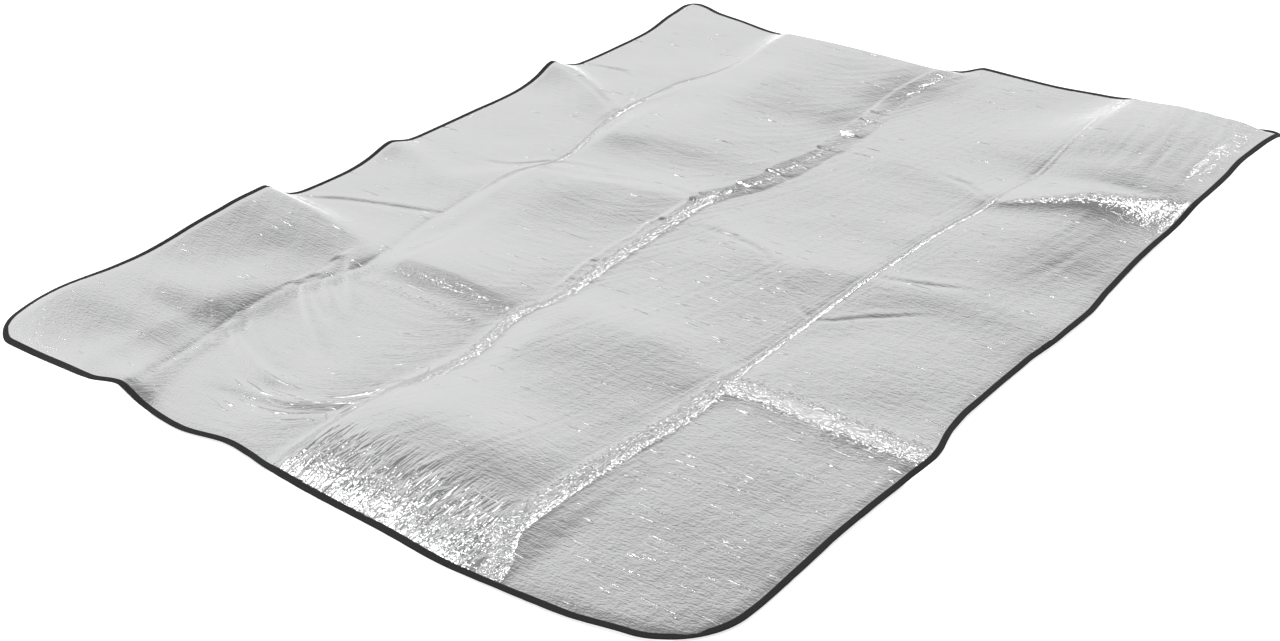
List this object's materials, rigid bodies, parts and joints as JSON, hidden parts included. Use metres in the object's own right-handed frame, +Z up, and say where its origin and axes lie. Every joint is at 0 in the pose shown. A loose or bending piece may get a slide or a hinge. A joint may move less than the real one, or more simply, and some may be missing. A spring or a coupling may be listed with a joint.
{
  "type": "foil-faced foam sleeping mat",
  "caption": "Large thin folding sleeping mat: closed-cell foam with a reflective film face and a sewn tape binding, creased so that it folds concertina-fashion.",
  "frame": {"origin": "centre of the open mat in plan, on the ground it lies on", "axes": "+Y along the mat's length from the front edge to the far edge, +X across its width, +Z up, foil side up"},
  "size_m": [1.5012, 2.0016, 0.0501],
  "materials": {
    "foam": "matte",
    "foil": "satin",
    "tape": "matte",
    "thread": "matte"
  },
  "bodies": {
    "panel_3": {"foam_core_3": "foam", "foil_film_3": "foil", "binding_left_3": "tape", "binding_right_3": "tape", "thread_3": "thread", "binding_far": "tape"},
    "panel_2": {"foam_core_2": "foam", "foil_film_2": "foil", "binding_left_2": "tape", "binding_right_2": "tape", "thread_2": "thread"},
    "panel_1": {"foam_core_1": "foam", "foil_film_1": "foil", "binding_left_1": "tape", "binding_right_1": "tape", "thread_1": "thread", "binding_lap": "tape"},
    "panel_0": {"foam_core_0": "foam", "foil_film_0": "foil", "binding_left_0": "tape", "binding_right_0": "tape", "thread_0": "thread", "binding_front": "tape"}
  },
  "joints": [
    {"name": "crease_3", "type": "hinge", "parent": "panel_3", "child": "panel_2", "pos_m": [0, 0.5, 0.0207], "axis": [-1, 0, 0], "range_deg": [0, 183.63]},
    {"name": "crease_2", "type": "hinge", "parent": "panel_2", "child": "panel_1", "pos_m": [0, -0.01002, -0.0005], "axis": [1, 0, 0], "range_deg": [0, 188.36]},
    {"name": "crease_1", "type": "hinge", "parent": "panel_1", "child": "panel_0", "pos_m": [0, -0.40991, 0.05072], "axis": [-1, 0, 0], "range_deg": [0, 191.02]}
  ],
  "couplings": [
    {"joint": "crease_2", "follows": "crease_3", "ratio": 1.0257},
    {"joint": "crease_1", "follows": "crease_3", "ratio": 1.0402}
  ]
}
